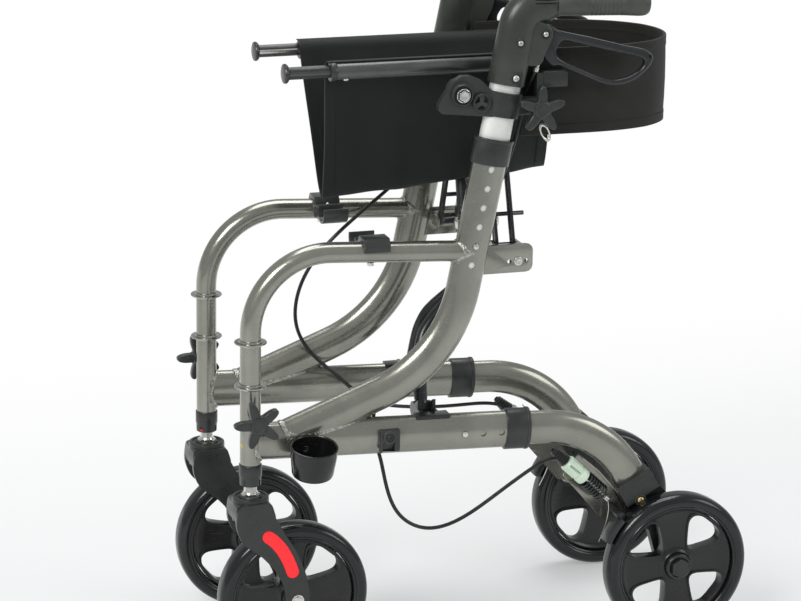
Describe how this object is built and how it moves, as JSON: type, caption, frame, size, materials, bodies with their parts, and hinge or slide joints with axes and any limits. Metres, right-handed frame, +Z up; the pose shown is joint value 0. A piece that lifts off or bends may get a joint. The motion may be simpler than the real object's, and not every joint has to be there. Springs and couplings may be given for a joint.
{
  "type": "folding rollator",
  "caption": "Folding rollator with cross-brace seat, height-adjustable handles, loop brake levers, swivelling front wheels and a backrest strap, shown folded.",
  "frame": {"origin": "on the floor, midway between the two side frames and midway between the front and rear axles, with the rollator folded", "axes": "+Z up, +X rearward to the user, +Y to the user's right, the side away from the cane cup"},
  "size_m": [0.727, 0.3583, 0.8928],
  "materials": {
    "frame_paint": "pewter metallic paint, glossy",
    "bare_aluminium": "satin anodised aluminium",
    "black_metal": "black powder coat",
    "black_plastic": "black moulded nylon, fine grain",
    "handle_plastic": "dark grey moulded plastic, satin",
    "grip_rubber": "soft dark grey rubber",
    "tyre_rubber": "black solid tyre with ring grooves",
    "rim_plastic": "black moulded rim, satin",
    "seat_cloth": "black woven nylon",
    "strap_cloth": "dark brown-black padded webbing",
    "steel": "bright plated steel",
    "pale_plastic": "pale mint white moulded plastic"
  },
  "bodies": {
    "left_frame": {"left_upright_tube": "frame_paint", "left_front_hoop": "frame_paint", "left_lower_tube": "frame_paint", "left_rail_clip": "black_plastic", "left_link_plate": "frame_paint", "left_brake_cable": "black_plastic", "cane_cup": "black_plastic"},
    "front_arm": {"front_brace_arm": "black_metal", "right_seat_rail": "black_metal"},
    "rear_arm": {"rear_brace_arm": "black_metal", "left_seat_rail": "black_metal", "seat_sling": "seat_cloth"},
    "right_frame": {"right_upright_tube": "frame_paint", "right_front_hoop": "frame_paint", "right_lower_tube": "frame_paint", "right_rail_clip": "black_plastic", "right_link_plate": "frame_paint", "right_brake_cable": "black_plastic"},
    "left_link": {"left_upper_link": "black_metal"},
    "right_link": {"right_upper_link": "black_metal"},
    "left_strap": {"left_backrest_strap": "strap_cloth"},
    "right_strap": {"right_backrest_strap": "strap_cloth"},
    "left_handle": {"left_handle_tube": "bare_aluminium", "left_handle_shell": "handle_plastic", "left_grip": "grip_rubber", "left_clamp_collar": "black_plastic"},
    "left_rear_leg": {"left_rear_tube": "frame_paint", "left_rear_housing": "black_plastic", "left_brake_adjuster": "pale_plastic", "left_brake_spring": "black_metal"},
    "left_caster": {"left_caster_fork": "black_plastic"},
    "left_front_wheel": {"left_front_rim": "rim_plastic", "left_front_tyre": "tyre_rubber"},
    "left_rear_wheel": {"left_rear_rim": "rim_plastic", "left_rear_tyre": "tyre_rubber"},
    "left_brake_lever_body": {"left_brake_lever": "black_metal"},
    "left_brake_shoe_body": {"left_brake_shoe": "black_metal"},
    "left_front_knob_body": {"left_front_knob": "black_plastic"},
    "left_handle_knob_body": {"left_handle_knob": "black_plastic"},
    "left_handle_button_body": {"left_handle_button": "steel"},
    "left_rear_button_body": {"left_rear_button": "steel"},
    "right_handle": {"right_handle_tube": "bare_aluminium", "right_handle_shell": "handle_plastic", "right_grip": "grip_rubber", "right_clamp_collar": "black_plastic"},
    "right_rear_leg": {"right_rear_tube": "frame_paint", "right_rear_housing": "black_plastic", "right_brake_adjuster": "pale_plastic", "right_brake_spring": "black_metal"},
    "right_caster": {"right_caster_fork": "black_plastic"},
    "right_front_wheel": {"right_front_rim": "rim_plastic", "right_front_tyre": "tyre_rubber"},
    "right_rear_wheel": {"right_rear_rim": "rim_plastic", "right_rear_tyre": "tyre_rubber"},
    "right_brake_lever_body": {"right_brake_lever": "black_metal"},
    "right_brake_shoe_body": {"right_brake_shoe": "black_metal"},
    "right_front_knob_body": {"right_front_knob": "black_plastic"},
    "right_handle_knob_body": {"right_handle_knob": "black_plastic"},
    "right_handle_button_body": {"right_handle_button": "steel"},
    "right_rear_button_body": {"right_rear_button": "steel"}
  },
  "joints": [
    {"name": "fold", "type": "hinge", "parent": "left_frame", "child": "front_arm", "pos_m": [-0.076, -0.072, 0.325], "axis": [-1, 0, 0], "range_deg": [0, 43.02], "deforming": ["seat_sling", "left_backrest_strap", "right_backrest_strap"]},
    {"name": "brace_cross", "type": "hinge", "parent": "front_arm", "child": "rear_arm", "pos_m": [0.019, 0, 0.555], "axis": [-1, 0, 0], "range_deg": [-86.1, 0]},
    {"name": "right_frame_foot", "type": "hinge", "parent": "rear_arm", "child": "right_frame", "pos_m": [-0.046, 0.072, 0.325], "axis": [-1, 0, 0], "range_deg": [0, 43.04]},
    {"name": "left_link_swing", "type": "hinge", "parent": "left_frame", "child": "left_link", "pos_m": [0, -0.072, 0.54], "axis": [-1, 0, 0], "range_deg": [0, 91.6]},
    {"name": "right_link_swing", "type": "hinge", "parent": "right_frame", "child": "right_link", "pos_m": [0, 0.072, 0.54], "axis": [-1, 0, 0], "range_deg": [-91.6, 0]},
    {"name": "left_handle_height", "type": "slide", "parent": "left_frame", "child": "left_handle", "axis": [0.1908, 0, 0.9816], "range_m": [-0.0255, 0.102], "deforming": ["left_brake_cable"]},
    {"name": "left_leg_length", "type": "slide", "parent": "left_frame", "child": "left_rear_leg", "axis": [0.9993, 0, -0.0366], "range_m": [0, 0.051], "deforming": ["left_brake_cable"]},
    {"name": "left_handle_button_press", "type": "slide", "parent": "left_handle", "child": "left_handle_button_body", "axis": [0, 1, 0], "range_m": [0, 0.004], "stiffness_N_per_m": 400, "springref_m": -0.003, "deforming": ["left_handle_button"]},
    {"name": "left_leg_button_press", "type": "slide", "parent": "left_rear_leg", "child": "left_rear_button_body", "axis": [0, 1, 0], "range_m": [0, 0.004], "stiffness_N_per_m": 400, "springref_m": -0.003, "deforming": ["left_rear_button"]},
    {"name": "left_brake_squeeze", "type": "hinge", "parent": "left_handle", "child": "left_brake_lever_body", "pos_m": [0.06447, -0.115, 0.831], "axis": [0, -1, 0], "range_deg": [0, 10], "stiffness_Nm_per_rad": 2, "springref_deg": -8.59},
    {"name": "left_shoe_press", "type": "hinge", "parent": "left_rear_leg", "child": "left_brake_shoe_body", "pos_m": [0.185, -0.115, 0.173], "axis": [0, -1, 0], "range_deg": [0, 3.1]},
    {"name": "left_caster_swivel", "type": "hinge", "parent": "left_frame", "child": "left_caster", "pos_m": [-0.3205, -0.115, 0.242], "axis": [0, 0, 1], "continuous": true},
    {"name": "left_front_wheel_spin", "type": "hinge", "parent": "left_caster", "child": "left_front_wheel", "pos_m": [-0.2635, -0.115, 0.1], "axis": [0, 1, 0], "continuous": true},
    {"name": "left_rear_wheel_spin", "type": "hinge", "parent": "left_rear_leg", "child": "left_rear_wheel", "pos_m": [0.2635, -0.141, 0.1], "axis": [0, 1, 0], "continuous": true},
    {"name": "left_front_knob_turn", "type": "hinge", "parent": "left_frame", "child": "left_front_knob_body", "pos_m": [-0.3205, -0.115, 0.349], "axis": [0, 1, 0], "range_deg": [0, 180]},
    {"name": "left_handle_knob_turn", "type": "hinge", "parent": "left_handle", "child": "left_handle_knob_body", "pos_m": [0.05602, -0.115, 0.73664], "axis": [0, 1, 0], "range_deg": [0, 180]},
    {"name": "right_handle_height", "type": "slide", "parent": "right_frame", "child": "right_handle", "axis": [0.1908, 0, 0.9816], "range_m": [-0.0255, 0.102], "deforming": ["right_brake_cable"]},
    {"name": "right_leg_length", "type": "slide", "parent": "right_frame", "child": "right_rear_leg", "axis": [0.9993, 0, -0.0366], "range_m": [0, 0.051], "deforming": ["right_brake_cable"]},
    {"name": "right_handle_button_press", "type": "slide", "parent": "right_handle", "child": "right_handle_button_body", "axis": [0, -1, 0], "range_m": [0, 0.004], "stiffness_N_per_m": 400, "springref_m": -0.003, "deforming": ["right_handle_button"]},
    {"name": "right_leg_button_press", "type": "slide", "parent": "right_rear_leg", "child": "right_rear_button_body", "axis": [0, -1, 0], "range_m": [0, 0.004], "stiffness_N_per_m": 400, "springref_m": -0.003, "deforming": ["right_rear_button"]},
    {"name": "right_brake_squeeze", "type": "hinge", "parent": "right_handle", "child": "right_brake_lever_body", "pos_m": [0.06447, 0.115, 0.831], "axis": [0, -1, 0], "range_deg": [0, 10], "stiffness_Nm_per_rad": 2, "springref_deg": -8.59},
    {"name": "right_shoe_press", "type": "hinge", "parent": "right_rear_leg", "child": "right_brake_shoe_body", "pos_m": [0.185, 0.115, 0.173], "axis": [0, -1, 0], "range_deg": [0, 3.1]},
    {"name": "right_caster_swivel", "type": "hinge", "parent": "right_frame", "child": "right_caster", "pos_m": [-0.3205, 0.115, 0.242], "axis": [0, 0, 1], "continuous": true},
    {"name": "right_front_wheel_spin", "type": "hinge", "parent": "right_caster", "child": "right_front_wheel", "pos_m": [-0.2635, 0.115, 0.1], "axis": [0, 1, 0], "continuous": true},
    {"name": "right_rear_wheel_spin", "type": "hinge", "parent": "right_rear_leg", "child": "right_rear_wheel", "pos_m": [0.2635, 0.141, 0.1], "axis": [0, 1, 0], "continuous": true},
    {"name": "right_front_knob_turn", "type": "hinge", "parent": "right_frame", "child": "right_front_knob_body", "pos_m": [-0.3205, 0.115, 0.349], "axis": [0, 1, 0], "range_deg": [0, 180]},
    {"name": "right_handle_knob_turn", "type": "hinge", "parent": "right_handle", "child": "right_handle_knob_body", "pos_m": [0.05602, 0.115, 0.73664], "axis": [0, 1, 0], "range_deg": [0, 180]},
    {"name": "left_strap_swing", "type": "hinge", "parent": "left_handle", "child": "left_strap", "pos_m": [0.045, -0.0935, 0.692], "axis": [0, 0, 1], "range_deg": [0, 47.1]},
    {"name": "right_strap_swing", "type": "hinge", "parent": "left_strap", "child": "right_strap", "pos_m": [0.274, 0, 0.692], "axis": [0, 0, 1], "range_deg": [-94.2, 0]}
  ],
  "couplings": [
    {"joint": "brace_cross", "follows": "fold", "ratio": -2},
    {"joint": "right_frame_foot", "follows": "fold", "ratio": 1},
    {"joint": "left_link_swing", "follows": "fold", "ratio": 2.1267},
    {"joint": "right_link_swing", "follows": "fold", "ratio": -2.1267},
    {"joint": "left_shoe_press", "follows": "left_brake_squeeze", "ratio": 0.3},
    {"joint": "right_shoe_press", "follows": "right_brake_squeeze", "ratio": 0.3},
    {"joint": "right_handle_height", "follows": "left_handle_height", "ratio": 1},
    {"joint": "left_strap_swing", "follows": "fold", "ratio": 1.0897},
    {"joint": "right_strap_swing", "follows": "fold", "ratio": -2.1794}
  ]
}
